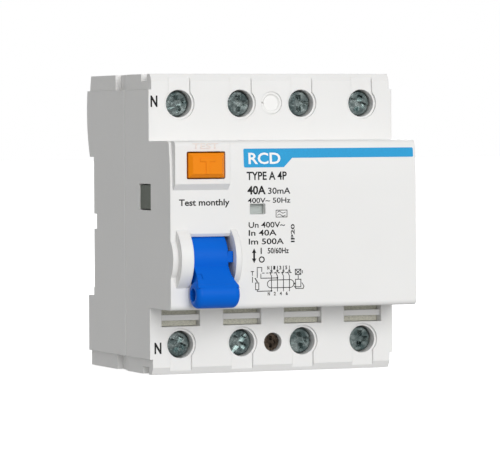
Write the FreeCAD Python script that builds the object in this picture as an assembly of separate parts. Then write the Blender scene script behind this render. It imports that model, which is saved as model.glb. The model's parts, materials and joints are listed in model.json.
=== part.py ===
import FreeCAD, Part
import math
import os

# Four-pole residual current device for a 35 mm rail.
# Origin on the rail seat plane, +X to the viewer's right, front faces -Y, +Z up. Millimetres.

# ---- housing
W = 36.0              # half width
WI = 35.2             # half width of the inset end zones
H = 40.8              # half height
Z_INSET = 36.6        # the side walls step in beyond this height
Y_SEAM = -25.0
SEAM_BEVEL = 0.4
Y_SHOULDER = -44.0
Y_NOSE = -60.0
Z_NOSE = 22.6
T = 1.8               # side wall
T_FRONT = 2.0         # shoulder front wall
Z_CAV = 38.8
Y_REAR_IN = -4.3
POLES = (-27.0, -9.0, 9.0, 27.0)
Z_TERM = 32.7
WALLS_X = (-18.0, 0.0, 18.0)
RIB = 0.75            # half thickness of the pole walls
Z_CROSS0, Z_CROSS1 = 25.8, 27.2

# ---- handle
HY, HZ = -55.2, -8.9
HUB_R = 6.9
HUB_GAP = 0.3
HUB_X0, HUB_X1 = -30.1, -20.2
WIN_X0, WIN_X1 = -30.9, -18.8
CHEEK_R = 9.1
LINK_X0, LINK_X1 = -23.4, -21.8
CRANK_H = 5.0

BARREL_Y, BARREL_Z = -63.9, -18.3
BARREL_X0, BARREL_X1 = -31.15, -18.75

# ---- contacts
SY, SZ = -14.0, -3.0
CARRIER_TRAVEL = 26.0
CARRIER_CRANK = 10.7
BAR_Y0, BAR_Y1 = -26.6, -24.6

# ---- test button
BX, BZ = -26.35, 16.1
CAP_HX, CAP_HZ = 5.15, 3.3
CAP_GAP = 0.37

# ---- differential transformer
TX, TZ, TR = 12.0, 12.0, 12.0
HOLES = ((10.0, 10.0), (10.0, 14.0), (14.0, 14.0), (14.0, 10.0))
WIRE = 0.8

# ---- terminals
HEAD_R, SHANK_R = 3.4, 2.5
# drive slot angle from horizontal, top row then bottom row
SLOT_TOP = (20.0, 2.0, 0.0, -20.0)
SLOT_BOTTOM = (-25.0, 50.0, 8.0, -4.0)

LATCHES = (-18.0, 18.0)


def v(x, y, z):
    return FreeCAD.Vector(x, y, z)


def box(x0, x1, y0, y1, z0, z1):
    return Part.makeBox(x1 - x0, y1 - y0, z1 - z0, v(x0, y0, z0))


def cyl_x(r, x0, x1, y, z):
    return Part.makeCylinder(r, x1 - x0, v(x0, y, z), v(1, 0, 0))


def cyl_y(r, y0, y1, x, z):
    return Part.makeCylinder(r, y1 - y0, v(x, y0, z), v(0, 1, 0))


def fuse(shapes):
    shapes = list(shapes)
    if len(shapes) == 1:
        return shapes[0]
    return shapes[0].multiFuse(shapes[1:]).removeSplitter()


def cut(shape, tools):
    return shape.cut(list(tools))


def group(shapes):
    return Part.makeCompound(list(shapes))


def outline(start, segments, x0, x1):
    """Prism along X over a (y, z) outline. A segment is an end point or (mid, end) of an arc."""
    edges = []
    here = v(x0, start[0], start[1])
    for s in segments:
        if isinstance(s[0], tuple):
            mid = v(x0, s[0][0], s[0][1])
            end = v(x0, s[1][0], s[1][1])
            edges.append(Part.Arc(here, mid, end).toShape())
        else:
            end = v(x0, s[0], s[1])
            edges.append(Part.makeLine(here, end))
        here = end
    face = Part.Face(Part.Wire(edges))
    return face.extrude(v(x1 - x0, 0, 0))


def prism_x(points, x0, x1):
    return outline(points[0], list(points[1:]) + [points[0]], x0, x1)


def prism_z(points, z0, z1):
    wire = Part.makePolygon([v(x, y, z0) for x, y in points] + [v(points[0][0], points[0][1], z0)])
    return Part.Face(wire).extrude(v(0, 0, z1 - z0))


def round_box_y(x0, x1, y0, y1, z0, z1, r):
    body = box(x0, x1, y0, y1, z0, z1)
    edges = [e for e in body.Edges if abs(e.tangentAt(e.FirstParameter).y) > 0.99]
    return body.makeFillet(r, edges)


def round_box_z(x0, x1, y0, y1, z0, z1, r):
    body = box(x0, x1, y0, y1, z0, z1)
    edges = [e for e in body.Edges if abs(e.tangentAt(e.FirstParameter).z) > 0.99]
    return body.makeFillet(r, edges)


def tube(points, r):
    """Round wire along straight runs with ball corners."""
    pieces = []
    for a, b in zip(points, points[1:]):
        a, b = v(*a), v(*b)
        pieces.append(Part.makeCylinder(r, (b - a).Length, a, b - a))
    for p in points[1:-1]:
        pieces.append(Part.makeSphere(r, v(*p)))
    return fuse(pieces)


def coil(radius, wire, pitch, length, base, axis):
    helix = Part.makeHelix(pitch, length - 2 * wire, radius)
    ring = Part.Wire(Part.Circle(v(radius, 0, 0), v(0, 1, 0), wire).toShape())
    body = Part.Wire(helix.Edges).makePipeShell([ring], True, True)
    body.translate(v(0, 0, wire))
    turn = FreeCAD.Rotation(v(0, 0, 1), v(*axis))
    body.Placement = FreeCAD.Placement(v(*base), turn).multiply(body.Placement)
    return body


def zbox(x0, x1, y0, y1, z0, z1, s):
    """Box at height z0..z1 on end s."""
    return box(x0, x1, y0, y1, min(s * z0, s * z1), max(s * z0, s * z1))


# ------------------------------------------------------------------ base shell
def base_outer():
    start = (Y_SEAM, H)
    rear = [
        (4.0, H),
        ((5.5, 28.5), (3.3, 18.1)),
        (0.0, 18.1),
        (0.0, -18.6),
        (0.5, -18.6),
        (0.5, -20.9),
        (5.0, -21.0),
        (5.0, -H),
        (Y_SEAM, -H),
        (Y_SEAM, H),
    ]
    return outline(start, rear, -W, W)


def inset_cuts(y0, y1):
    tools = []
    for s in (1, -1):
        tools.append(zbox(WI, W + 1, y0, y1, Z_INSET, H + 1, s))
        tools.append(zbox(-W - 1, -WI, y0, y1, Z_INSET, H + 1, s))
    return tools


def side_grooves():
    tools = []
    for s in (1, -1):
        for side in (1, -1):
            points = [
                (side * (WI + 1), -16.0),
                (side * (WI - 1.7), -16.0),
                (side * (WI - 1.25), -19.5),
                (side * (WI - 0.35), -23.2),
                (side * WI, -24.5),
                (side * (WI + 1), -24.5),
            ]
            z0, z1 = (Z_INSET, H + 1) if s > 0 else (-H - 1, -Z_INSET)
            tools.append(prism_z(points, z0, z1))
    return tools


def seam_bevels(side):
    """Bevel along one rim of the parting line: side 1 is the base, -1 the cover."""
    near, deep = Y_SEAM + side * SEAM_BEVEL, Y_SEAM - side * 1.0
    tools = []
    for s in (1, -1):
        inner, outer = W - SEAM_BEVEL, W + 1
        points = [(s * inner, deep), (s * inner, Y_SEAM), (s * W, near), (s * outer, near), (s * outer, deep)]
        tools.append(prism_z(points, -H - 1, H + 1))
        inner, outer = H - SEAM_BEVEL, H + 1
        points = [(deep, s * inner), (Y_SEAM, s * inner), (near, s * H), (near, s * outer), (deep, s * outer)]
        tools.append(prism_x(points, -W - 1, W + 1))
    return tools


def cavity(y0, y1):
    main = box(-W + T, W - T, y0, y1, -36.0, 36.0)
    ends = box(-32.6, 32.6, y0, y1, -Z_CAV, Z_CAV)
    return main.fuse(ends)


def pole_walls(y0, y1):
    walls = []
    for s in (1, -1):
        for x in WALLS_X:
            walls.append(zbox(x - RIB, x + RIB, y0, y1, Z_CROSS1 - 0.1, Z_CAV + 0.2, s))
    return walls


def cable_holes():
    tools = []
    for x in POLES:
        for s in (1, -1):
            z0, z1 = (Z_CAV - 1, H + 1) if s > 0 else (-H - 1, -Z_CAV + 1)
            tools.append(round_box_z(x - 4.2, x + 4.2, -24.2, -15.6, z0, z1, 1.6))
    return tools


def latch_channels():
    tools = []
    for x in LATCHES:
        tools.append(box(x - 6.05, x + 6.05, 1.0, 3.9, -H - 1, -20.5))
        tools.append(box(x - 4.55, x + 4.55, 3.8, 6.0, -H - 1, -20.5))
    return tools


def base_posts():
    posts = []
    for z0, z1 in ((-15.0, -12.0), (9.0, 12.0)):
        posts.append(box(-34.2, -32.2, -29.0, Y_REAR_IN + 0.3, z0, z1))
        posts.append(box(-20.0, -18.2, -29.0, Y_REAR_IN + 0.3, z0, z1))
    posts.append(box(-12.0, -8.0, -22.0, Y_REAR_IN + 0.3, 12.0, 16.0))
    posts.append(box(20.5, 22.5, -29.5, Y_REAR_IN + 0.3, 10.5, 13.5))
    posts.append(box(10.5, 13.5, -29.5, 2.4, 20.5, 22.5))
    for side in (1, -1):
        x0, x1 = (31.2, 32.7) if side > 0 else (-32.7, -31.2)
        posts.append(box(x0, x1, -17.5, Y_REAR_IN + 0.3, SZ - 3.6, SZ + 3.6))
    return posts


def base_shell():
    body = cut(base_outer(), inset_cuts(Y_SEAM - 1, 8.0) + side_grooves() + seam_bevels(1))
    hollow = [
        cavity(Y_SEAM - 1, Y_REAR_IN),
        box(-32.6, 32.6, Y_REAR_IN - 1, 2.0, 20.1, 37.8),
        box(-32.6, 32.6, Y_REAR_IN - 1, -1.5, -37.8, -22.6),
    ]
    body = cut(body, hollow)
    added = pole_walls(Y_SEAM, 2.4)[0:3] + pole_walls(Y_SEAM, -1.2)[3:6]
    for s in (1, -1):
        added.append(zbox(-34.4, 34.4, BAR_Y1, -1.0, Z_CROSS0, Z_CROSS1, s))
        added.append(cyl_y(3.2, Y_SEAM, -1.3, 0.0, s * 32.8))
    for x0, x1 in ((-30.0, -18.0), (18.0, 30.0)):
        added.append(box(x0, x1, 1.35, 3.4, 16.6, 18.3))
    for x in LATCHES:
        added.append(box(x - 1.2, x + 1.2, 0.5, 3.3, -34.4, -33.0))
    tools = []
    for x0, x1 in ((-W - 1, -10.0), (10.0, W + 1)):
        tools.append(box(x0, x1, -2.15, 1.0, -2.1, 2.1))
    for x0, x1 in ((-30.3, -17.7), (17.7, 30.3)):
        tools.append(box(x0, x1, -0.3, 1.0, 15.4, 18.1))
    for x in LATCHES:
        tools.append(box(x - 6.5, x + 6.5, -0.3, 1.0, -20.9, -13.6))
    for s in (1, -1):
        tools.append(cyl_y(1.5, Y_SEAM - 1, -11.5, 0.0, s * 32.8))
    tools.append(cyl_x(2.06, -32.8, 32.8, SY, SZ))
    body = cut(body, cable_holes() + latch_channels())
    body = fuse([body] + added + base_posts())
    return cut(body, tools)


# ----------------------------------------------------------------- front cover
def cover_outer():
    start = (Y_SEAM, H)
    front = [
        (Y_SHOULDER + 1.2, H),
        (Y_SHOULDER, 38.9),
        (Y_SHOULDER, Z_NOSE),
        (-57.6, Z_NOSE),
        ((-58.8, 22.2), (-59.25, 21.1)),
        ((-59.8, 15.6), (Y_NOSE, 10.0)),
        (Y_NOSE, -21.2),
        ((Y_NOSE + 0.41, -22.19), (Y_NOSE + 1.4, -Z_NOSE)),
        (Y_SHOULDER, -Z_NOSE),
        (Y_SHOULDER, -38.9),
        (Y_SHOULDER + 1.2, -H),
        (Y_SEAM, -H),
        (Y_SEAM, H),
    ]
    return outline(start, front, -W, W)


def test_platform():
    start = (-58.2, 8.0)
    steps = [
        (-59.9, 9.4),
        (-61.7, 11.1),
        (-61.7, 21.2),
        ((-61.3, 22.2), (-60.3, Z_NOSE)),
        (-58.2, Z_NOSE),
        (-58.2, 8.0),
    ]
    return outline(start, steps, -35.2, -19.4)


def cheeks():
    right = cyl_x(CHEEK_R, WIN_X1, -16.9, HY, HZ)
    rim = [e for e in right.Edges if abs(e.CenterOfMass.x + 16.9) < 0.01 and e.Length > 20]
    right = right.makeFillet(0.6, rim)
    left = cyl_x(CHEEK_R, -34.4, WIN_X0, HY, HZ)
    disc = cyl_x(6.8, -W, -34.3, HY, HZ)
    return [right, left, disc]


def cheek_core():
    """Coring of the thick left cheek, open to the rear."""
    return [
        cyl_x(5.3, -34.3, -32.3, HY, HZ),
        box(-34.3, -32.3, HY, -44.0, HZ - 5.3, HZ + 5.3),
    ]


def screw_tubes():
    return [cyl_y(4.9, -42.1, -37.0, x, s * Z_TERM) for x in POLES for s in (1, -1)]


def keyholes():
    tools = []
    for x in POLES:
        for s in (1, -1):
            tools.append(cyl_y(3.75, -45.0, -36.0, x, s * Z_TERM))
            tools.append(cyl_y(4.35, -45.0, -43.4, x, s * Z_TERM))
            tools.append(zbox(x - 3.15, x + 3.15, -45.0, -43.4, Z_TERM, H + 1, s))
    return tools


def vent_collars():
    return [box(x - 6.6, x + 6.6, -42.1, -39.9, -28.8, -22.6) for x in POLES]


def vent_cuts():
    return [box(x - 5.6, x + 5.6, -45.0, -39.0, -27.8, -23.2) for x in POLES]


def vent_ribs():
    return [box(x - 5.8, x + 5.8, -43.0, -41.4, -26.2, -24.6) for x in POLES]


def front_cover():
    body = cut(cover_outer(), inset_cuts(-45.0, Y_SEAM + 1) + seam_bevels(-1))
    hollow = cavity(Y_SHOULDER + T_FRONT, Y_SEAM + 1)
    nose = box(-W + T, W - T, Y_NOSE + 1.8, -41.0, -20.8, 20.8)
    body = cut(body, [hollow, nose])
    walls = pole_walls(-42.1, Y_SEAM)
    walls.append(box(-34.4, 34.4, -42.1, -26.7, Z_CROSS0, Z_CROSS1))
    walls.append(box(-34.4, 34.4, -38.6, -26.7, -Z_CROSS1, -Z_CROSS0))
    walls.append(cyl_y(3.2, -42.0, Y_SEAM, 0.0, 32.8))
    walls.append(cyl_y(3.2, -42.0, Y_SEAM, 0.0, -32.8))
    walls.append(cyl_y(4.2, -42.1, -37.5, 0.0, 32.8))
    for x0, x1 in ((-15.4, -14.6), (-7.1, -6.3)):
        walls.append(box(x0, x1, -58.3, -56.0, -3.0, 11.4))
    body = fuse([body, test_platform()] + cheeks() + walls + screw_tubes() + vent_collars())
    tools = keyholes() + vent_cuts() + cheek_core()
    tools.append(cyl_y(3.05, -45.0, -41.3, 0.0, 32.8))
    tools.append(cyl_y(2.6, -42.0, -39.5, 0.0, 32.8))
    tools.append(cyl_y(1.65, -41.0, Y_SEAM + 1, 0.0, 32.8))
    tools.append(cyl_y(2.6, -45.0, -40.7, 0.0, -32.8))
    tools.append(cyl_y(1.65, -41.0, Y_SEAM + 1, 0.0, -32.8))
    tools.append(box(WIN_X0, WIN_X1, -70.0, -57.0, -15.6, -3.1))
    tools.append(prism_x([(-62.0, -3.2), (-62.0, -2.2), (Y_NOSE, -2.2), (-59.3, -3.1), (-59.3, -3.2)],
                         WIN_X0, WIN_X1))
    tools.append(cyl_x(HUB_R + HUB_GAP, WIN_X0, WIN_X1, HY, HZ))
    tools.append(cyl_x(CHEEK_R + 0.5, WIN_X0 + 0.001, WIN_X1 - 0.001, HY, HZ).common(
        box(WIN_X0, WIN_X1, -70.0, -60.0, -30.0, 10.0)))
    tools.append(cyl_x(1.5, -33.4, -17.6, HY, HZ))
    open_x, open_z = CAP_HX + CAP_GAP, CAP_HZ + CAP_GAP
    tools.append(round_box_y(BX - open_x, BX + open_x, -65.0, -57.0, BZ - open_z, BZ + open_z, 0.4))
    tools.append(round_box_y(-13.1, -8.6, -61.0, -57.0, 2.8, 5.6, 0.3))
    tools.append(box(-37.0, -33.0, -45.3, -36.4, 3.9, 11.0))
    for s in (1, -1):
        tools.append(zbox(33.4, W, -41.0, -36.3, Z_CAV, H + 1, s))
        tools.append(zbox(-W, -33.4, -41.0, -36.3, Z_CAV, H + 1, s))
    body = cut(body, tools)
    return fuse([body] + vent_ribs())


def cover_screw(z, y_head, y_seat):
    head = cyl_y(2.35, y_head, y_seat, 0.0, z)
    slots = [
        box(-1.6, 1.6, y_head - 0.1, y_head + 0.9, z - 0.4, z + 0.4),
        box(-0.4, 0.4, y_head - 0.1, y_head + 0.9, z - 1.6, z + 1.6),
    ]
    return fuse([cut(head, slots), cyl_y(1.5, y_seat, -12.0, 0.0, z)])


def cover_screws():
    return group([cover_screw(32.8, -41.0, -39.5), cover_screw(-32.8, -42.2, -40.7)])


def screw_plug():
    body = cyl_y(3.0, -43.8, -41.3, 0.0, 32.8)
    dish = Part.makeCone(2.5, 2.1, 0.5, v(0.0, -43.8, 32.8), v(0, 1, 0))
    return cut(body, [dish, box(-3.1, -2.2, -43.9, -43.0, 32.5, 33.1)])


def indicator_flag():
    plate = box(-14.4, -7.3, -57.9, -56.9, -2.0, 6.6)
    foot = box(-11.6, -10.1, -56.9, -55.0, -2.0, -0.4)
    return fuse([plate, foot])


# ------------------------------------------------------------------ test button
def test_button():
    cap = box(BX - CAP_HX, BX + CAP_HX, -62.9, -58.0, BZ - CAP_HZ, BZ + CAP_HZ)
    front = [e for e in cap.Edges if abs(e.CenterOfMass.y + 62.9) < 0.01]
    cap = cap.makeChamfer(1.0, front)
    flange = box(BX - 6.1, BX + 6.1, -58.1, -56.9, BZ - 4.35, BZ + 4.35)
    return fuse([cap, flange, cyl_y(1.7, -57.0, -49.3, BX, BZ)])


def test_spring():
    return coil(2.6, 0.3, 1.25, 4.7, (BX, -56.9, BZ), (0, 1, 0))


def test_guide():
    plate = box(-34.2, -20.4, -52.2, -51.0, 11.2, 20.8)
    lip = box(-34.2, -33.2, -51.0, -46.4, 14.0, 18.7)
    return cut(fuse([plate, lip]), [cyl_y(1.78, -53.0, -50.0, BX, BZ)])


def test_contact_strip():
    blade = box(-33.2, -18.0, -47.4, -47.0, 14.8, 17.9)
    tab = box(-18.4, -18.0, -47.0, -44.0, 14.8, 17.9)
    return fuse([blade, tab])


def test_resistor():
    body = cyl_x(2.2, -15.2, -7.0, -52.0, 15.5)
    rims = [cyl_x(2.5, -15.2, -13.9, -52.0, 15.5), cyl_x(2.5, -8.3, -7.0, -52.0, 15.5)]
    left = tube([(-15.2, -52.0, 15.5), (-17.4, -52.0, 15.5), (-17.4, -47.8, 15.5), (-18.2, -47.8, 15.5)], 0.4)
    right = tube([(-7.0, -52.0, 15.5), (-4.5, -52.0, 15.5), (-4.5, -52.0, 2.0), (-4.5, -30.0, 2.0),
                  (-7.0, -27.0, -15.0)], 0.4)
    return fuse([body] + rims + [left, right])


# ----------------------------------------------------------------------- handle
def lever_arm(x0, x1):
    return prism_x([(-61.83, -10.8), (-67.1, -16.4), (BARREL_Y, BARREL_Z), (-61.4, -17.3), (-59.3, -14.2),
                    (-57.0, -9.5)], x0, x1)


def lever_flare():
    """The arm widens to the barrel in a smooth curve, outside the sweep of the hub window."""
    left, right = BARREL_X0 + 0.35, BARREL_X1 - 0.35
    z_neck, z_mid, z_wide, z_low = -12.4, -14.2, -15.8, -23.0
    points = [(HUB_X0, z_neck), (HUB_X0 - 0.18, z_mid), (left, z_wide), (left, z_low), (right, z_low),
              (right, z_wide), (HUB_X1 + 0.35, z_mid), (HUB_X1, z_neck)]
    wire = [v(x, -70.0, z) for x, z in points]
    curves = [
        Part.Arc(wire[0], wire[1], wire[2]).toShape(),
        Part.makeLine(wire[2], wire[3]),
        Part.makeLine(wire[3], wire[4]),
        Part.makeLine(wire[4], wire[5]),
        Part.Arc(wire[5], wire[6], wire[7]).toShape(),
        Part.makeLine(wire[7], wire[0]),
    ]
    front = Part.Face(Part.Wire(curves)).extrude(v(0, 14.0, 0))
    return cut(lever_arm(left, right).common(front), [cyl_x(9.6, -32.0, -18.0, HY, HZ)])


def arm_dimple():
    """Shallow square mark on the left of the arm."""
    return prism_x([(-63.5, -12.8), (-64.72, -14.1), (-67.0, -14.1), (-67.0, -12.8)], -29.8, -28.6)


def handle():
    hub = cyl_x(HUB_R, HUB_X0, HUB_X1, HY, HZ)
    barrel = cyl_x(3.7, BARREL_X0, BARREL_X1, BARREL_Y, BARREL_Z)
    barrel = barrel.makeFillet(1.5, [e for e in barrel.Edges if e.BoundBox.XLength < 0.01])
    lug = box(HUB_X1 - 0.2, -18.9, -62.1, -59.5, -9.9, -6.9)
    body = fuse([hub, lever_arm(HUB_X0, HUB_X1), barrel, lever_flare(), lug])
    tools = [
        cyl_x(1.8, -32.0, -18.0, BARREL_Y, BARREL_Z),
        cyl_x(1.56, -31.0, -19.0, HY, HZ),
        cyl_x(3.3, -30.2, -27.2, HY, HZ),
        box(-23.7, -21.5, HY - 2.3, HY + 8.0, HZ + 2.6, HZ + 8.0),
        cyl_x(0.86, -25.4, -20.1, HY, HZ + CRANK_H),
        arm_dimple(),
    ]
    return cut(body, tools)


def handle_pin():
    return cyl_x(1.5, -33.4, -17.6, HY, HZ)


def handle_spring():
    return coil(2.35, 0.35, 0.85, 2.6, (-29.9, HY, HZ), (1, 0, 0))


def handle_link():
    y0, z0 = HY, HZ + CRANK_H
    y1, z1 = SY, SZ + CARRIER_CRANK
    length = math.hypot(y1 - y0, z1 - z0)
    ny, nz = -(z1 - z0) / length, (y1 - y0) / length
    bar = prism_x([(y0 - ny, z0 - nz), (y1 - ny, z1 - nz), (y1 + ny, z1 + nz), (y0 + ny, z0 + nz)],
                  LINK_X0, LINK_X1)
    eyes = [cyl_x(1.7, LINK_X0, LINK_X1, y0, z0), cyl_x(1.4, LINK_X0, LINK_X1, y1, z1)]
    pins = [cyl_x(0.8, -25.2, -20.4, y0, z0), cyl_x(0.8, -24.8, -20.4, y1, z1)]
    return fuse([bar] + eyes + pins)


def mechanism_frame():
    sides = [box(-30.4, -29.4, -46.5, -29.0, -15.0, 12.5), box(-20.2, -19.2, -46.5, -29.0, -15.0, 7.0)]
    sides.append(box(-32.9, -32.2, -46.8, -29.0, 1.5, 12.5))
    port_lug = box(-35.7, -32.5, -45.0, -36.7, 4.2, 10.7)
    sides.append(port_lug)
    back = box(-33.8, -18.2, -30.0, -29.0, -15.0, 12.0)
    window = box(-24.8, -20.4, -31.0, -28.0, -4.0, 6.6)
    hole = cyl_y(1.06, -31.0, -28.0, -22.4, 9.8)
    return cut(fuse(sides + [back]), [window, hole])


def trip_lever():
    arm = box(-23.2, -21.6, -33.5, -30.4, 8.8, 17.0)
    knee = cyl_y(1.7, -33.5, -30.4, -22.4, 9.8)
    return fuse([arm, knee, cyl_y(1.0, -30.5, -28.6, -22.4, 9.8)])


# --------------------------------------------------------------------- contacts
def crank_plate(x0, x1):
    top = SZ + CARRIER_CRANK
    plate = fuse([box(x0, x1, SY - 2.2, SY + 2.2, SZ, top), cyl_x(2.6, x0, x1, SY, top)])
    slot = fuse([box(x0 - 1, x1 + 1, SY - 0.7, SY + 0.7, top - 1.3, top + 1.3),
                 cyl_x(1.3, x0 - 1, x1 + 1, SY - 0.7, top), cyl_x(1.3, x0 - 1, x1 + 1, SY + 0.7, top)])
    return cut(plate, [slot])


def arm_slot(x):
    return box(x - 1.6, x + 1.6, SY - 0.8, SY + 0.8, -21.0, 2.5)


def contact_carrier():
    pieces = [cyl_x(3.2, -30.9, 30.9, SY, SZ), cyl_x(2.0, -32.7, 32.7, SY, SZ)]
    for x in POLES:
        pieces.append(box(x - 3.4, x + 3.4, -17.0, -9.9, -10.0, 2.2))
    pieces.append(crank_plate(-24.9, -23.7))
    pieces.append(crank_plate(-21.5, -20.3))
    body = fuse(pieces)
    tools = [arm_slot(x) for x in POLES]
    tools += [cyl_y(1.5, SY + 0.7, -10.9, x, -7.5) for x in POLES]
    return cut(body, tools)


def moving_contact(x):
    tip = cyl_y(1.8, -23.2, -21.7, x, -18.0)
    tip.rotate(v(0, SY, SZ), v(1, 0, 0), CARRIER_TRAVEL)
    return fuse([arm_slot(x), tip])


def contact_springs():
    return group([coil(1.05, 0.3, 0.825, 2.25, (x, -13.18, -7.5), (0, 1, 0)) for x in POLES])


def lower_busbar(x):
    pad = box(x - 3.9, x + 3.9, BAR_Y0, BAR_Y1, -37.0, -28.4)
    neck = box(x - 3.0, x + 3.0, BAR_Y0, BAR_Y1, -28.5, -14.0)
    return fuse([pad, neck])


def upper_busbars():
    bars = []
    for x in POLES:
        pad = box(x - 3.9, x + 3.9, BAR_Y0, BAR_Y1, 28.4, 37.0)
        bars.append(fuse([pad, box(x - 3.0, x + 3.0, BAR_Y0, BAR_Y1, 23.0, 28.5)]))
    return group(bars)


def fixed_contact_tips():
    return group([cyl_y(1.9, BAR_Y1, -23.25, x, -18.0) for x in POLES])


def arc_chute(x):
    pieces = [
        box(x - 6.4, x + 6.4, -39.6, -38.8, -27.75, -22.7),
        box(x - 5.5, x + 5.5, -41.2, -39.5, -27.7, -23.3),
    ]
    for side in (1, -1):
        x0, x1 = (3.9, 4.6) if side > 0 else (-4.6, -3.9)
        pieces.append(box(x + x0, x + x1, -38.9, -28.0, -25.4, -16.0))
    for k in range(5):
        z = -24.9 + 2.0 * k
        pieces.append(box(x - 4.0, x + 4.0, -38.9, -28.2, z, z + 0.6))
    return fuse(pieces)


def arc_chutes():
    return group([arc_chute(x) for x in POLES])


# ------------------------------------------------------- differential transformer
def ring(r0, r1, y0, y1):
    return cut(cyl_y(r1, y0, y1, TX, TZ), [cyl_y(r0, y0 - 1, y1 + 1, TX, TZ)])


def toroid_case():
    tray = ring(5.6, TR, -38.5, -29.5)
    return cut(tray, [ring(6.4, TR - 0.8, -39.0, -30.3)])


def toroid_core():
    return ring(7.6, 10.2, -36.5, -31.5)


def secondary_winding():
    full = cut(ring(6.7, 11.0, -37.4, -30.5), [ring(7.6, 10.2, -36.5, -31.5)])
    wedge = prism_x([(-40.0, TZ), (-28.0, TZ), (-28.0, TZ + 14.0), (-40.0, TZ + 14.0)], TX - 14.0, TX + 14.0)
    return full.common(wedge)


def wire_path(k):
    x = POLES[k]
    hx, hz = HOLES[k]
    path = [(x, BAR_Y0, 24.9), (x, -40.2, 24.9), (hx, -40.2, hz)]
    if k == 0:
        return path + [(hx, -5.6, hz), (-16.0, -5.6, 6.8), (-27.0, -5.6, 6.8), (-27.0, -10.5, 5.6)]
    return path + [(hx, -24.0, hz), (x, -14.0, 6.6)]


def primary_conductors():
    return group([tube(wire_path(k), WIRE) for k in range(4)])


def braids():
    pieces = []
    for k, x in enumerate(POLES):
        if k == 0:
            pieces.append(tube([(x, -11.3, 5.2), (x, -12.6, 4.3), (x, SY, 3.1), (x, SY, 2.5)], 0.6))
        else:
            pieces.append(tube([(x, -14.9, 5.6), (x, -15.5, 4.2), (x, SY, 3.1), (x, SY, 2.5)], 0.6))
    return group(pieces)


# ------------------------------------------------------------------------ relay
def relay_case():
    tray = box(-17.5, -3.0, -36.0, -22.0, 6.0, 22.0)
    inner = box(-16.2, -4.3, -37.0, -23.2, 7.2, 20.8)
    return cut(tray, [inner, cyl_x(1.3, -18.0, -15.0, -32.0, 14.5)])


def relay_coil():
    spool = [cyl_x(3.7, -14.0, -13.2, -32.0, 14.5), cyl_x(3.7, -7.2, -6.4, -32.0, 14.5)]
    return cut(fuse(spool + [cyl_x(3.2, -13.3, -7.1, -32.0, 14.5)]), [cyl_x(1.25, -15.0, -5.0, -32.0, 14.5)])


def relay_yoke():
    plates = [box(-15.3, -14.1, -35.9, -27.0, 10.5, 18.5), box(-6.3, -5.1, -35.9, -27.0, 10.5, 18.5)]
    back = box(-15.3, -5.1, -28.1, -27.0, 10.5, 18.5)
    stand = box(-11.5, -8.5, -27.1, -23.2, 13.0, 16.0)
    return cut(fuse(plates + [back, stand]), [cyl_x(1.3, -16.0, -14.0, -32.0, 14.5)])


def relay_plunger():
    rod = cyl_x(1.15, -20.25, -7.8, -32.0, 14.5)
    return fuse([rod, Part.makeSphere(1.15, v(-20.25, -32.0, 14.5))])


# ------------------------------------------------------------------ rail latches
def rail_latch(x):
    nose = prism_x([(1.1, -40.4), (3.8, -40.4), (3.8, -19.4), (2.3, -17.2), (1.1, -17.2)], x - 5.95, x + 5.95)
    rib = box(x - 4.45, x + 4.45, 3.7, 4.9, -40.4, -21.4)
    window = box(x - 1.6, x + 1.6, 1.0, 3.8, -36.0, -24.5)
    pry = box(x - 2.2, x + 2.2, 2.0, 3.2, -41.0, -38.9)
    return cut(fuse([nose, rib]), [window, pry])


def latch_spring(x):
    return coil(1.0, 0.2, 1.05, 8.4, (x, 2.4, -32.98), (0, 0, 1))


# --------------------------------------------------------------------- terminals
def terminal_screw(x, z, angle):
    head = cyl_y(HEAD_R, -41.5, -38.4, x, z)
    rim = [e for e in head.Edges if abs(e.CenterOfMass.y + 41.5) < 0.01 and e.Length > 15]
    head = head.makeChamfer(0.35, rim)
    drive = [
        box(x - 3.8, x + 3.8, -41.6, -40.6, z - 0.45, z + 0.45),
        box(x - 0.75, x + 0.75, -41.6, -39.8, z - 2.3, z + 2.3),
        box(x - 2.3, x + 2.3, -41.6, -39.8, z - 0.75, z + 0.75),
    ]
    for d in drive:
        d.rotate(v(x, 0, z), v(0, 1, 0), -angle)
    return fuse([cut(head, drive), cyl_y(SHANK_R, -38.5, -26.7, x, z)])


def terminal_cage(x, z):
    z0, z1 = z - 4.5, z + 4.5
    outer = box(x - 5.3, x + 5.3, -29.4, -13.6, z0, z1)
    edges = [e for e in outer.Edges if abs(e.tangentAt(e.FirstParameter).z) > 0.99]
    outer = outer.makeFillet(1.0, edges)
    inner = box(x - 4.1, x + 4.1, -27.0, -15.2, z0 - 1, z1 + 1)
    return cut(outer, [inner, cyl_y(SHANK_R + 0.08, -30.0, -26.0, x, z)])


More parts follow.
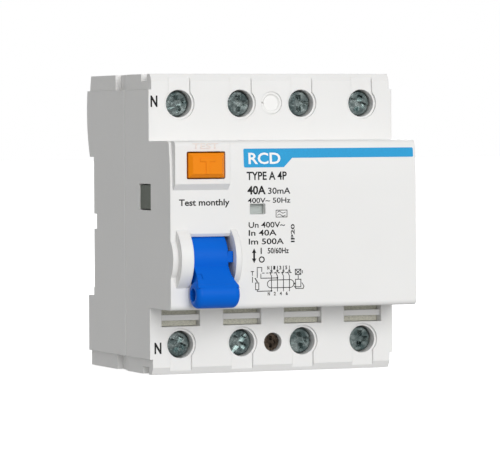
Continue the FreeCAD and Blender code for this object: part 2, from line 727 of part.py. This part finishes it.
def main():
    os.makedirs("parts", exist_ok=True)
    parts = {
        "base_shell": base_shell(),
        "front_cover": front_cover(),
        "cover_screws": cover_screws(),
        "screw_plug": screw_plug(),
        "indicator_flag": indicator_flag(),
        "test_button": test_button(),
        "test_spring": test_spring(),
        "test_guide": test_guide(),
        "test_contact_strip": test_contact_strip(),
        "test_resistor": test_resistor(),
        "handle": handle(),
        "handle_pin": handle_pin(),
        "handle_spring": handle_spring(),
        "handle_link": handle_link(),
        "mechanism_frame": mechanism_frame(),
        "trip_lever": trip_lever(),
        "contact_carrier": contact_carrier(),
        "contact_springs": contact_springs(),
        "upper_busbars": upper_busbars(),
        "fixed_contact_tips": fixed_contact_tips(),
        "braids": braids(),
        "arc_chutes": arc_chutes(),
        "toroid_case": toroid_case(),
        "toroid_core": toroid_core(),
        "secondary_winding": secondary_winding(),
        "primary_conductors": primary_conductors(),
        "relay_case": relay_case(),
        "relay_coil": relay_coil(),
        "relay_yoke": relay_yoke(),
        "relay_plunger": relay_plunger(),
        "rail_latch_left": rail_latch(LATCHES[0]),
        "rail_latch_right": rail_latch(LATCHES[1]),
        "latch_spring_left": latch_spring(LATCHES[0]),
        "latch_spring_right": latch_spring(LATCHES[1]),
    }
    for k, x in enumerate(POLES):
        n = str(k + 1)
        parts["moving_contact_" + n] = moving_contact(x)
        parts["lower_busbar_" + n] = lower_busbar(x)
        parts["terminal_screw_top_" + n] = terminal_screw(x, Z_TERM, SLOT_TOP[k])
        parts["terminal_screw_bottom_" + n] = terminal_screw(x, -Z_TERM, SLOT_BOTTOM[k])
        parts["terminal_cage_top_" + n] = terminal_cage(x, Z_TERM)
        parts["terminal_cage_bottom_" + n] = terminal_cage(x, -Z_TERM)
    for name, shape in parts.items():
        shape.exportStep("parts/" + name + ".step")


main()
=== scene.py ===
import json
import math

import bmesh
import bpy
from mathutils import Matrix, Vector
from mathutils.bvhtree import BVHTree


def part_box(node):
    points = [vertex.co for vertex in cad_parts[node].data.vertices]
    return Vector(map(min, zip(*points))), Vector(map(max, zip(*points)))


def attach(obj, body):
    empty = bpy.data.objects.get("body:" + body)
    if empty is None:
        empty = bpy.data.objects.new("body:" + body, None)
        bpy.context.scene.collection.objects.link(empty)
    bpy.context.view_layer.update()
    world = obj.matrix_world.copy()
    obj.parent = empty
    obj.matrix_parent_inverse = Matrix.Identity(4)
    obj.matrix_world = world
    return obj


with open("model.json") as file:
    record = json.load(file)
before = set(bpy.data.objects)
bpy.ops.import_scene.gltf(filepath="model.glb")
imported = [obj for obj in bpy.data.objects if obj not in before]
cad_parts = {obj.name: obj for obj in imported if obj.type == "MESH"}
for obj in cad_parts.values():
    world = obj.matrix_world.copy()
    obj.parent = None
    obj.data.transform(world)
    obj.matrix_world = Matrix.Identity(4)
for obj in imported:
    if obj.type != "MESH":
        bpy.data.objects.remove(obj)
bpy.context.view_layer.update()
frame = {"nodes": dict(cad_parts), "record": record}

NODES = frame["nodes"]
MM = 0.001

PRINT_LIFT = 0.03        # how far an ink print stands off the plastic, mm
PRINT_DEPTH = 0.05       # thickness of the ink solid, mm
COVER = "front_cover"
FLOOR_Z = -41.0          # mm, just under the feet

CAMERA_AT = (-369.9, -933.56, 25.86)      # mm
CAMERA_TURN = (-22.264, 1.517, -0.324)    # azimuth, elevation, roll, degrees
LENS = 253.04
SHIFT = (-0.0057, -0.0070)

FILL = 0.48              # strength of the even white surroundings
KEY = 1.8
KEY_FROM = (0.0, -0.93, 0.31)
KEY_WIDTH = 35.0         # angular size of the lamp, degrees
RIM = 1.1
RIM_FROM = (0.5, 0.75, 0.42)
RIM_WIDTH = 30.0
# brightness of what polished metal mirrors, from the left (0) to the right (1)
STRIPS = [(0.0, 0.25), (0.34, 0.10), (0.42, 1.6), (0.5, 0.12), (0.66, 0.16), (0.74, 0.9), (0.84, 0.2)]


# ------------------------------------------------------------------ camera
def make_camera():
    data = bpy.data.cameras.new("camera")
    data.lens = LENS
    data.sensor_width = 36.0
    data.clip_start = 0.1
    data.clip_end = 20.0
    data.shift_x, data.shift_y = SHIFT
    cam = bpy.data.objects.new("camera", data)
    bpy.context.scene.collection.objects.link(cam)
    az, el, roll = (math.radians(a) for a in CAMERA_TURN)
    back = Vector((math.sin(az) * math.cos(el), -math.cos(az) * math.cos(el), math.sin(el)))
    right = Vector((math.cos(az), math.sin(az), 0.0))
    up = back.cross(right)
    r2 = right * math.cos(roll) + up * math.sin(roll)
    u2 = up * math.cos(roll) - right * math.sin(roll)
    turn = Matrix((r2, u2, back)).transposed().to_4x4()
    cam.matrix_world = Matrix.Translation(Vector(CAMERA_AT) * MM) @ turn
    bpy.context.scene.camera = cam


# ------------------------------------------------------------------- stage
def make_light(name, kind, energy, direction, **settings):
    data = bpy.data.lights.new(name, kind)
    data.energy = energy
    for key, value in settings.items():
        setattr(data, key, value)
    lamp = bpy.data.objects.new(name, data)
    lamp.rotation_mode = "QUATERNION"
    lamp.rotation_quaternion = Vector(direction).to_track_quat("Z", "Y")
    lamp.location = Vector(direction) * 1.5
    bpy.context.scene.collection.objects.link(lamp)


def make_world():
    """White behind the object, an even fill for plastic, and strip lights mirrored by polished metal."""
    world = bpy.data.worlds.new("studio")
    bpy.context.scene.world = world
    world.use_nodes = True
    t = world.node_tree
    t.nodes.clear()
    out = t.nodes.new("ShaderNodeOutputWorld")
    path = t.nodes.new("ShaderNodeLightPath")
    coord = t.nodes.new("ShaderNodeTexCoord")
    axes = t.nodes.new("ShaderNodeSeparateXYZ")
    strips = t.nodes.new("ShaderNodeValToRGB")
    ramp = strips.color_ramp
    while len(ramp.elements) < len(STRIPS):
        ramp.elements.new(0.5)
    for e, (position, level) in zip(ramp.elements, STRIPS):
        e.position = position
        e.color = (level, level, level, 1.0)
    centred = t.nodes.new("ShaderNodeMapRange")
    centred.inputs["From Min"].default_value = -1.0
    t.links.new(coord.outputs["Generated"], axes.inputs[0])
    t.links.new(axes.outputs["X"], centred.inputs["Value"])
    t.links.new(centred.outputs[0], strips.inputs["Fac"])
    fill = t.nodes.new("ShaderNodeBackground")
    fill.inputs["Color"].default_value = (0.985, 0.99, 0.985, 1.0)
    fill.inputs["Strength"].default_value = FILL
    mirrored = t.nodes.new("ShaderNodeBackground")
    t.links.new(strips.outputs["Color"], mirrored.inputs["Color"])
    seen = t.nodes.new("ShaderNodeBackground")
    seen.inputs["Color"].default_value = (1.0, 1.0, 1.0, 1.0)
    inner = t.nodes.new("ShaderNodeMixShader")
    outer = t.nodes.new("ShaderNodeMixShader")
    t.links.new(path.outputs["Is Glossy Ray"], inner.inputs["Fac"])
    t.links.new(fill.outputs[0], inner.inputs[1])
    t.links.new(mirrored.outputs[0], inner.inputs[2])
    t.links.new(path.outputs["Is Camera Ray"], outer.inputs["Fac"])
    t.links.new(inner.outputs[0], outer.inputs[1])
    t.links.new(seen.outputs[0], outer.inputs[2])
    t.links.new(outer.outputs[0], out.inputs["Surface"])


def make_floor():
    size = 6.0
    mesh = bpy.data.meshes.new("floor")
    corners = [(-size, -size), (size, -size), (size, size), (-size, size)]
    mesh.from_pydata([(x, y, FLOOR_Z * MM) for x, y in corners], [], [(0, 1, 2, 3)])
    floor = bpy.data.objects.new("floor", mesh)
    bpy.context.scene.collection.objects.link(floor)
    mat = bpy.data.materials.new("floor")
    mat.use_nodes = True
    bsdf = mat.node_tree.nodes["Principled BSDF"]
    bsdf.inputs["Base Color"].default_value = (0.9, 0.9, 0.9, 1.0)
    bsdf.inputs["Roughness"].default_value = 0.9
    bsdf.inputs["Specular IOR Level"].default_value = 0.1
    bsdf.inputs["Emission Color"].default_value = (1.0, 1.0, 1.0, 1.0)
    bsdf.inputs["Emission Strength"].default_value = 0.62
    mesh.materials.append(mat)
    floor.visible_diffuse = False
    floor.visible_glossy = False


# --------------------------------------------------------------- materials
class Nodes:
    """Small helper that wires one Principled material."""

    def __init__(self, name):
        self.mat = bpy.data.materials.new(name)
        self.mat.use_nodes = True
        self.tree = self.mat.node_tree
        self.bsdf = self.tree.nodes["Principled BSDF"]
        self.coord = self.tree.nodes.new("ShaderNodeTexCoord")

    def new(self, kind, **values):
        node = self.tree.nodes.new(kind)
        for key, value in values.items():
            setattr(node, key, value)
        return node

    def link(self, a, b):
        self.tree.links.new(a, b)

    def noise(self, scale, detail=3.0, stretch=(1.0, 1.0, 1.0)):
        mapping = self.new("ShaderNodeMapping")
        mapping.inputs["Scale"].default_value = stretch
        self.link(self.coord.outputs["Object"], mapping.inputs["Vector"])
        node = self.new("ShaderNodeTexNoise")
        node.inputs["Scale"].default_value = scale
        node.inputs["Detail"].default_value = detail
        self.link(mapping.outputs[0], node.inputs["Vector"])
        return node.outputs["Fac"]

    def ramp(self, source, stops):
        node = self.new("ShaderNodeValToRGB")
        elements = node.color_ramp.elements
        while len(elements) < len(stops):
            elements.new(0.5)
        for e, (pos, colour) in zip(elements, stops):
            e.position = pos
            e.color = tuple(colour) + (1.0,)
        self.link(source, node.inputs["Fac"])
        return node.outputs["Color"]

    def spread(self, source, low, high):
        node = self.new("ShaderNodeMapRange")
        node.inputs["From Min"].default_value = 0.3
        node.inputs["From Max"].default_value = 0.7
        node.inputs["To Min"].default_value = low
        node.inputs["To Max"].default_value = high
        self.link(source, node.inputs["Value"])
        return node.outputs["Result"]

    def bump(self, source, depth_mm, strength=0.5, rounding_mm=0.0):
        node = self.new("ShaderNodeBump")
        node.inputs["Strength"].default_value = strength
        node.inputs["Distance"].default_value = depth_mm * MM
        self.link(source, node.inputs["Height"])
        if rounding_mm:
            bevel = self.new("ShaderNodeBevel", samples=4)
            bevel.inputs["Radius"].default_value = rounding_mm * MM
            self.link(bevel.outputs["Normal"], node.inputs["Normal"])
        self.link(node.outputs["Normal"], self.bsdf.inputs["Normal"])


def scaled(colour, k):
    return tuple(min(1.0, c * k) for c in colour)


def plastic(name, colour, rough=0.42, grain=0.012, drift=0.02, rounding=0.22, gloss=0.5, bleed=0.0):
    """Moulded thermoplastic: fine spark-eroded grain, slow colour drift, softened edges."""
    n = Nodes(name)
    slow = n.noise(38.0, 2.0)
    base = n.ramp(slow, [(0.3, scaled(colour, 1.0 - drift)), (0.7, scaled(colour, 1.0 + drift))])
    n.link(base, n.bsdf.inputs["Base Color"])
    n.link(n.spread(n.noise(900.0, 2.0), rough - 0.05, rough + 0.06), n.bsdf.inputs["Roughness"])
    n.bump(n.noise(5200.0, 3.0), grain, 0.45, rounding)
    n.bsdf.inputs["IOR"].default_value = 1.5
    n.bsdf.inputs["Specular IOR Level"].default_value = gloss
    n.bsdf.inputs["Subsurface Weight"].default_value = bleed
    n.bsdf.inputs["Subsurface Radius"].default_value = (0.0006, 0.0005, 0.0004)
    return n.mat


def metal(name, colour, tint, rough=0.32, stretch=(1.0, 1.0, 1.0)):
    """Plated or drawn metal: blotchy tint, streaked roughness, fine marks along the drawing direction."""
    n = Nodes(name)
    n.bsdf.inputs["Metallic"].default_value = 1.0
    base = n.ramp(n.noise(260.0, 4.0), [(0.32, colour), (0.68, tint)])
    n.link(base, n.bsdf.inputs["Base Color"])
    streak = n.noise(600.0, 4.0, stretch)
    n.link(n.spread(streak, rough - 0.1, rough + 0.14), n.bsdf.inputs["Roughness"])
    n.bump(streak, 0.01, 0.4, 0.1)
    return n.mat


def turned_metal(name, colour, tint, rough):
    """Screw head: turned rings round its own axis with a blotchy passivated tint."""
    n = Nodes(name)
    n.bsdf.inputs["Metallic"].default_value = 1.0
    n.link(n.ramp(n.noise(420.0, 4.0), [(0.35, colour), (0.65, tint)]), n.bsdf.inputs["Base Color"])
    centre = n.new("ShaderNodeVectorMath", operation="SUBTRACT")
    centre.inputs[1].default_value = (0.5, 0.5, 0.5)
    n.link(n.coord.outputs["Generated"], centre.inputs[0])
    flat = n.new("ShaderNodeVectorMath", operation="MULTIPLY")
    flat.inputs[1].default_value = (1.0, 0.0, 1.0)
    n.link(centre.outputs[0], flat.inputs[0])
    length = n.new("ShaderNodeVectorMath", operation="LENGTH")
    n.link(flat.outputs[0], length.inputs[0])
    ring = n.new("ShaderNodeMath", operation="SINE")
    turn = n.new("ShaderNodeMath", operation="MULTIPLY")
    turn.inputs[1].default_value = 190.0
    n.link(length.outputs["Value"], turn.inputs[0])
    n.link(turn.outputs[0], ring.inputs[0])
    n.link(n.spread(n.noise(1500.0, 3.0), rough - 0.1, rough + 0.12), n.bsdf.inputs["Roughness"])
    n.bump(ring.outputs[0], 0.006, 0.35, 0.12)
    return n.mat


def board(name, colour):
    """Pressed fibre board with a felted surface."""
    n = Nodes(name)
    felt = n.noise(1800.0, 5.0, (1.0, 1.0, 3.0))
    base = n.ramp(felt, [(0.3, scaled(colour, 0.8)), (0.7, scaled(colour, 1.2))])
    n.link(base, n.bsdf.inputs["Base Color"])
    n.bsdf.inputs["Roughness"].default_value = 0.85
    n.bump(n.noise(3500.0, 4.0), 0.03, 0.6)
    return n.mat


def winding(name, colour):
    """Enamelled wire laid side by side; the darker stripes are painted shade in the grooves between turns.
    """
    n = Nodes(name)
    wave = n.new("ShaderNodeTexWave", wave_type="BANDS", bands_direction="DIAGONAL")
    wave.inputs["Scale"].default_value = 700.0
    wave.inputs["Distortion"].default_value = 0.4
    n.link(n.coord.outputs["Object"], wave.inputs["Vector"])
    # dark end of the ramp: painted shade in the grooves between turns
    shade = n.ramp(wave.outputs["Fac"], [(0.1, scaled(colour, 0.45)), (0.8, colour)])
    n.link(shade, n.bsdf.inputs["Base Color"])
    n.bsdf.inputs["Roughness"].default_value = 0.25
    n.bsdf.inputs["Coat Weight"].default_value = 0.6
    n.bump(wave.outputs["Fac"], 0.08, 0.6)
    return n.mat


def ink(name, colour, rough=0.5):
    """Pad-printed ink: slightly uneven density."""
    n = Nodes(name)
    patchy = n.noise(2600.0, 4.0)
    n.link(n.ramp(patchy, [(0.3, colour), (0.75, scaled(colour, 1.12))]), n.bsdf.inputs["Base Color"])
    n.link(n.spread(patchy, rough - 0.06, rough + 0.08), n.bsdf.inputs["Roughness"])
    n.bsdf.inputs["Specular IOR Level"].default_value = 0.2
    n.bump(patchy, 0.004, 0.3)
    return n.mat


def make_materials():
    white = (0.815, 0.81, 0.80)
    return {
        "housing_white": plastic("housing_white", white, 0.46, 0.012, 0.012, 0.3, gloss=0.4, bleed=0.05),
        "plug_white": plastic("plug_white", (0.86, 0.855, 0.84), 0.4, 0.01, 0.012),
        "handle_blue": plastic("handle_blue", (0.0, 0.12, 0.61), 0.42, 0.01, 0.07, 0.35, gloss=0.1),
        "button_orange": plastic("button_orange", (0.88, 0.25, 0.002), 0.42, 0.01, 0.03, 0.2, gloss=0.15),
        "flag_grey": plastic("flag_grey", (0.47, 0.51, 0.49), 0.4, 0.01, 0.03),
        "latch_plastic": plastic("latch_plastic", (0.07, 0.072, 0.078), 0.5, 0.03, 0.12),
        "inner_plastic": plastic("inner_plastic", (0.035, 0.035, 0.038), 0.55, 0.03, 0.15),
        "frame_moulding": plastic("frame_moulding", (0.15, 0.168, 0.14), 0.5, 0.03, 0.06),
        "fibre": board("fibre", (0.74, 0.73, 0.63)),
        "screw_zinc": turned_metal("screw_zinc", (0.36, 0.42, 0.41), (0.10, 0.14, 0.14), 0.2),
        "steel_zinc": metal("steel_zinc", (0.62, 0.62, 0.60), (0.52, 0.54, 0.55), 0.34, (1.0, 1.0, 8.0)),
        "spring_steel": metal("spring_steel", (0.5, 0.5, 0.51), (0.4, 0.4, 0.42), 0.28),
        "bronze_screw": turned_metal("bronze_screw", (0.17, 0.13, 0.10), (0.06, 0.045, 0.035), 0.22),
        "bronze_strip": metal("bronze_strip", (0.60, 0.38, 0.16), (0.5, 0.3, 0.12), 0.3, (8.0, 1.0, 1.0)),
        "copper": metal("copper", (0.80, 0.36, 0.22), (0.62, 0.26, 0.15), 0.34, (1.0, 1.0, 6.0)),
        "silver_contact": metal("silver_contact", (0.82, 0.82, 0.80), (0.7, 0.7, 0.69), 0.22),
        "core_metal": metal("core_metal", (0.24, 0.25, 0.27), (0.16, 0.17, 0.19), 0.45),
        "enamel_wire": winding("enamel_wire", (0.42, 0.10, 0.025)),
        "resistor_body": plastic("resistor_body", (0.55, 0.42, 0.22), 0.5, 0.03, 0.08),
        "ink_black": ink("ink_black", (0.012, 0.012, 0.013)),
        "ink_blue": ink("ink_blue", (0.022, 0.32, 0.62), 0.5),
        "ink_white": ink("ink_white", (0.86, 0.86, 0.85), 0.45),
        "ink_red": ink("ink_red", (0.62, 0.02, 0.015), 0.45),
        # TEST relief: white housing plastic tinted with a painted orange reflection of the test button
        "relief_painted_orange_reflection": plastic("relief_painted_orange_reflection", (0.84, 0.75, 0.70), 0.42, 0.01, 0.02),
    }


def dress(mats):
    for part in frame["record"]["subparts"]:
        mesh = NODES[part["node"]].data
        mesh.materials.clear()
        mesh.materials.append(mats[part["material_slot"]])


# ------------------------------------------------------------- ink and relief
def surface(node):
    mesh = NODES[node].data
    return BVHTree.FromPolygons([v.co for v in mesh.vertices], [p.vertices for p in mesh.polygons])


class Printer:
    """Lays flat outlines, drawn in (x, z) millimetres, on to the front of a CAD node."""

    def __init__(self, mats):
        self.mats = mats
        self.skin = {}

    def face_y(self, node, x, z):
        if node not in self.skin:
            self.skin[node] = surface(node)
        hit = self.skin[node].ray_cast(Vector((x * MM, -0.12, z * MM)), Vector((0, 1, 0)))
        return hit[0].y / MM

    def lay(self, name, bm, ink_name, node=COVER, body="housing", slot="housing_white",
            lift=PRINT_LIFT, depth=PRINT_DEPTH, flat_y=None):
        low = min(v.co.z for v in bm.verts)
        high = max(v.co.z for v in bm.verts)
        if flat_y is None and high > 9.0:
            for k in range(int(low), int(high) + 1):
                geom = bm.verts[:] + bm.edges[:] + bm.faces[:]
                bmesh.ops.bisect_plane(bm, geom=geom, plane_co=(0, 0, k + 0.013), plane_no=(0, 0, 1))
        for v in bm.verts:
            y = flat_y if flat_y is not None else self.face_y(node, v.co.x, v.co.z)
            v.co.y = y - lift
        bmesh.ops.recalc_face_normals(bm, faces=bm.faces[:])
        if sum(f.normal.y * f.calc_area() for f in bm.faces) > 0:
            bmesh.ops.reverse_faces(bm, faces=bm.faces[:])
        made = bmesh.ops.extrude_face_region(bm, geom=bm.faces[:])
        back = [g for g in made["geom"] if isinstance(g, bmesh.types.BMVert)]
        for v in back:
            v.co.y += depth
        bmesh.ops.recalc_face_normals(bm, faces=bm.faces[:])
        bmesh.ops.scale(bm, vec=(MM, MM, MM), verts=bm.verts[:])
        mesh = bpy.data.meshes.new(name)
        bm.to_mesh(mesh)
        bm.free()
        mesh.materials.append(self.mats[ink_name])
        obj = bpy.data.objects.new(name, mesh)
        bpy.context.scene.collection.objects.link(obj)
        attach(obj, body)


def add_polygon(bm, points):
    bm.faces.new([bm.verts.new((x, 0.0, z)) for x, z in points])


def add_rect(bm, x0, x1, z0, z1):
    add_polygon(bm, [(x0, z0), (x1, z0), (x1, z1), (x0, z1)])


def add_stroke(bm, a, b, width):
    a, b = Vector(a), Vector(b)
    along = (b - a).normalized()
    side = Vector((-along.y, along.x)) * (width / 2)
    a, b = a - along * (width / 2), b + along * (width / 2)
    add_polygon(bm, [tuple(a + side), tuple(b + side), tuple(b - side), tuple(a - side)])


def rim_points(x, z, radius, steps):
    angles = [2 * math.pi * k / steps for k in range(steps)]
    return [(x + radius * math.cos(a), z + radius * math.sin(a)) for a in angles]


def join_rims(bm, rims):
    """Band of quads between an outer and an inner closed outline."""
    outer, inner = [[bm.verts.new((x, 0.0, z)) for x, z in rim] for rim in rims]
    for k in range(len(outer)):
        j = (k + 1) % len(outer)
        bm.faces.new([outer[k], outer[j], inner[j], inner[k]])


def add_ring(bm, x, z, radius, width, steps=28):
    join_rims(bm, [rim_points(x, z, radius + width / 2, steps), rim_points(x, z, radius - width / 2, steps)])


def add_box_outline(bm, x0, x1, z0, z1, width):
    add_stroke(bm, (x0, z0), (x1, z0), width)
    add_stroke(bm, (x0, z1), (x1, z1), width)
    add_stroke(bm, (x0, z0 + width), (x0, z1 - width), width)
    add_stroke(bm, (x1, z0 + width), (x1, z1 - width), width)


def add_path(bm, points, width):
    for a, b in zip(points, points[1:]):
        add_stroke(bm, a, b, width)


def add_dot(bm, x, z, radius):
    add_polygon(bm, rim_points(x, z, radius, 12))


def add_arrow(bm, x, z0, z1, width, head):
    """Vertical double arrow."""
    add_stroke(bm, (x, z0 + head), (x, z1 - head), width)
    add_polygon(bm, [(x - head * 0.5, z0 + head), (x, z0), (x + head * 0.5, z0 + head)])
    add_polygon(bm, [(x - head * 0.5, z1 - head), (x, z1), (x + head * 0.5, z1 - head)])


def add_stadium(bm, x0, x1, z, radius, width, steps=10):
    """Outline with straight top and bottom and half-round ends."""
    rims = []
    for r in (radius + width / 2, radius - width / 2):
        rim = []
        for centre, start in ((x1 - radius, -90.0), (x0 + radius, 90.0)):
            for k in range(steps + 1):
                a = math.radians(start + 180.0 * k / steps)
                rim.append((centre + r * math.cos(a), z + r * math.sin(a)))
        rims.append(rim)
    join_rims(bm, rims)


def add_text(bm, text, x0, x1, z0, z1, upright=False, bold=0.0):
    """Default-font lettering stretched to the given box; upright turns it to read upwards."""
    curve = bpy.data.curves.new("text", "FONT")
    curve.body = text
    curve.offset = bold
    curve.resolution_u = 3
    holder = bpy.data.objects.new("text", curve)
    bpy.context.scene.collection.objects.link(holder)
    bpy.context.view_layer.update()
    mesh = bpy.data.meshes.new_from_object(holder.evaluated_get(bpy.context.evaluated_depsgraph_get()))
    points = [v.co for v in mesh.vertices]
    u0, u1 = min(p.x for p in points), max(p.x for p in points)
    v0, v1 = min(p.y for p in points), max(p.y for p in points)
    made = []
    for p in points:
        s, t = (p.x - u0) / (u1 - u0), (p.y - v0) / (v1 - v0)
        if upright:
            s, t = 1.0 - t, s
        made.append(bm.verts.new((x0 + s * (x1 - x0), 0.0, z0 + t * (z1 - z0))))
    for f in mesh.polygons:
        try:
            bm.faces.new([made[i] for i in f.vertices])
        except ValueError:
            continue
    bpy.data.objects.remove(holder)
    bpy.data.meshes.remove(mesh)
    bpy.data.curves.remove(curve)
    bmesh.ops.remove_doubles(bm, verts=bm.verts[:], dist=0.0005)


def corner_inset(z, z0, z1, radius):
    """How far a rounded corner pulls the end of a band in at height z."""
    reach = min(z - z0, z1 - z, radius)
    return radius - math.sqrt(radius ** 2 - (radius - reach) ** 2)


def band_levels(z0, z1, radius):
    fillet = [radius * (1 - math.cos(math.radians(a))) for a in (0, 20, 40, 60, 90)]
    return [z0 + f for f in fillet] + [z1 - f for f in reversed(fillet)]


def add_band(bm, rows):
    """Stack of quads through (z, left, right) rows."""
    pairs = [(bm.verts.new((a, 0.0, z)), bm.verts.new((b, 0.0, z))) for z, a, b in rows]
    for (a, b), (c, d) in zip(pairs, pairs[1:]):
        bm.faces.new([a, b, d, c])


def print_stripe(pr):
    z0, z1, z2 = 15.38, 17.87, 20.45
    left, right = -14.7, 35.42
    lean = 1.02
    bm = bmesh.new()
    lower = [z for z in band_levels(z0, z2, 0.45) if z < z1 - 0.3] + [z1]
    add_band(bm, [(z, left + corner_inset(z, z0, z2, 0.45), -0.53 - lean * (z1 - z)) for z in lower])
    upper = band_levels(z1, z2, 0.4)
    for_left = [left + corner_inset(z, z0, z2, 0.45) for z in upper]
    for_right = [right - corner_inset(z, z1, z2, 0.4) for z in upper]
    add_band(bm, list(zip(upper, for_left, for_right)))
    pr.lay("print_stripe", bm, "ink_blue", slot="handle_blue")
    bm = bmesh.new()
    add_text(bm, "RCD", -13.3, -4.0, 16.25, 19.35, bold=0.02)
    pr.lay("print_stripe_text", bm, "ink_white", slot="plug_white", lift=PRINT_LIFT * 2.2)


def print_ratings(pr):
    bm = bmesh.new()
    add_text(bm, "TYPE A 4P", -13.95, -2.3, 12.0, 14.25, bold=0.022)
    add_text(bm, "40A", -13.8, -8.5, 8.1, 10.45, bold=0.028)
    add_text(bm, "30mA", -7.8, -1.3, 8.2, 9.9, bold=0.012)
    add_text(bm, "400V~ 50Hz", -13.7, -1.3, 5.8, 7.2, bold=0.012)
    add_text(bm, "Un 400V~", -13.5, -2.9, -0.85, 0.7, bold=0.014)
    add_text(bm, "In 40A", -13.5, -5.4, -3.0, -1.4, bold=0.014)
    add_text(bm, "Im 500A", -13.5, -3.3, -5.35, -3.75, bold=0.014)
    add_text(bm, "IP20", -1.2, -0.1, -4.9, 0.0, upright=True, bold=0.02)
    add_stroke(bm, (-9.9, -7.75), (-9.9, -6.4), 0.32)
    add_ring(bm, -9.74, -9.41, 0.7, 0.32)
    add_text(bm, "50/60Hz", -8.0, -1.85, -7.85, -6.3, bold=0.02)
    add_arrow(bm, -11.95, -10.35, -6.35, 0.5, 1.25)
    add_box_outline(bm, -5.5, -2.3, 1.95, 3.8, 0.18)
    for z in (2.45, 3.25):
        add_path(bm, [(-5.1, z), (-4.5, z + 0.3), (-3.5, z - 0.3), (-2.8, z)], 0.16)
    pr.lay("print_ratings", bm, "ink_black", slot="inner_plastic")


def diagram_test_circuit(bm, line):
    """Test key, its resistor and the leads to the outer poles."""
    add_stroke(bm, (-12.85, -12.58), (-12.1, -12.58), line)
    add_stroke(bm, (-12.47, -12.75), (-12.47, -13.6), line)
    add_stroke(bm, (-12.47, -14.15), (-12.47, -15.5), line)
    add_path(bm, [(-11.08, -14.25), (-11.08, -11.54), (-9.76, -11.54), (-9.76, -12.6)], line)
    add_stroke(bm, (-11.65, -14.5), (-11.1, -15.4), line * 1.5)
    add_box_outline(bm, -11.6, -10.65, -17.5, -15.7, line)
    add_path(bm, [(-11.1, -17.6), (-11.1, -17.95), (-7.0, -17.95)], line)
    add_path(bm, [(-10.03, -13.35), (-10.03, -14.45), (-5.3, -14.45)], line)
    add_dot(bm, -5.25, -14.45, 0.26)
    add_dot(bm, -7.0, -17.9, 0.26)


def diagram_trip(bm, line):
    """Trip latch above, differential relay below, with the lead from the ring."""
    add_box_outline(bm, 0.04, 1.66, -13.68, -12.23, line)
    add_stroke(bm, (0.25, -13.45), (1.45, -12.45), line)
    add_stroke(bm, (0.25, -12.45), (1.45, -13.45), line)
    add_stroke(bm, (2.1, -12.65), (2.1, -13.25), line)
    add_stroke(bm, (0.88, -13.8), (0.88, -14.85), line)
    add_box_outline(bm, 0.09, 1.64, -16.98, -14.95, line)
    add_dot(bm, -0.3, -16.1, 0.26)
    add_path(bm, [(-0.26, -16.78), (0.16, -17.4), (2.3, -17.45), (2.55, -16.84), (2.0, -15.95)], line)


def print_diagram(pr):
    """Circuit diagram: four switched poles through a sum-current ring, test circuit and trip relay."""
    bm = bmesh.new()
    line = 0.2
    for x, top, bottom in zip((-6.95, -5.2, -3.45, -1.7), "N135", "N246"):
        add_text(bm, top, x - 1.2, x - 0.62, -12.2, -11.2, bold=0.03)
        add_text(bm, bottom, x - 1.1, x - 0.5, -19.15, -18.2, bold=0.03)
        add_stroke(bm, (x, -11.3), (x, -12.3), line)
        add_stroke(bm, (x - 0.22, -12.42), (x + 0.22, -12.86), line)
        add_stroke(bm, (x - 0.22, -12.86), (x + 0.22, -12.42), line)
        add_stroke(bm, (x - 0.5, -12.95), (x, -13.9), line)
        add_stroke(bm, (x, -13.9), (x, -18.0), line)
    for k in range(8):
        x = -9.55 + 1.13 * k
        add_stroke(bm, (x, -13.08), (x + 0.5, -13.08), line)
    add_stadium(bm, -8.15, -0.4, -16.05, 1.05, line)
    diagram_test_circuit(bm, line)
    diagram_trip(bm, line)
    pr.lay("print_diagram", bm, "ink_black", slot="inner_plastic")


def print_letters(pr):
    bm = bmesh.new()
    add_text(bm, "N", -35.4, -33.4, 31.8, 34.9, bold=0.035)
    add_text(bm, "N", -34.7, -32.7, -35.1, -32.0, bold=0.035)
    pr.lay("print_neutral", bm, "ink_black", slot="inner_plastic")
    bm = bmesh.new()
    add_text(bm, "Test monthly", -33.5, -19.0, 4.75, 7.05, bold=0.02)
    pr.lay("print_reminder", bm, "ink_black", slot="inner_plastic")


def relief_letters(pr):
    bm = bmesh.new()
    # the orange tint of these raised letters is a painted reflection of the orange test button
    add_text(bm, "TEST", -30.2, -22.8, 20.5, 22.0, bold=0.01)
    pr.lay("relief_test", bm, "relief_painted_orange_reflection", slot="button_orange", lift=0.1, depth=0.25)
    bm = bmesh.new()
    add_rect(bm, -28.5, -24.1, 17.1, 18.1)
    add_rect(bm, -26.85, -25.75, 13.75, 17.1)
    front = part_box("test_button")[0].y / MM
    pr.lay("relief_button", bm, "button_orange", "test_button", "button", "button_orange",
           lift=0.14, depth=0.2, flat_y=front)


def flag_patch(pr):
    bm = bmesh.new()
    add_rect(bm, -14.2, -7.5, -1.6, 2.0)
    pr.lay("flag_red_patch", bm, "ink_red", "indicator_flag", "flag", "button_orange",
           flat_y=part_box("indicator_flag")[0].y / MM)


def main():
    make_camera()
    make_world()
    make_light("key", "SUN", KEY, KEY_FROM, angle=math.radians(KEY_WIDTH))
    make_light("rim", "SUN", RIM, RIM_FROM, angle=math.radians(RIM_WIDTH))
    make_floor()
    bpy.context.scene.view_settings.view_transform = "Standard"
    mats = make_materials()
    dress(mats)
    pr = Printer(mats)
    print_stripe(pr)
    print_ratings(pr)
    print_diagram(pr)
    print_letters(pr)
    relief_letters(pr)
    flag_patch(pr)


main()
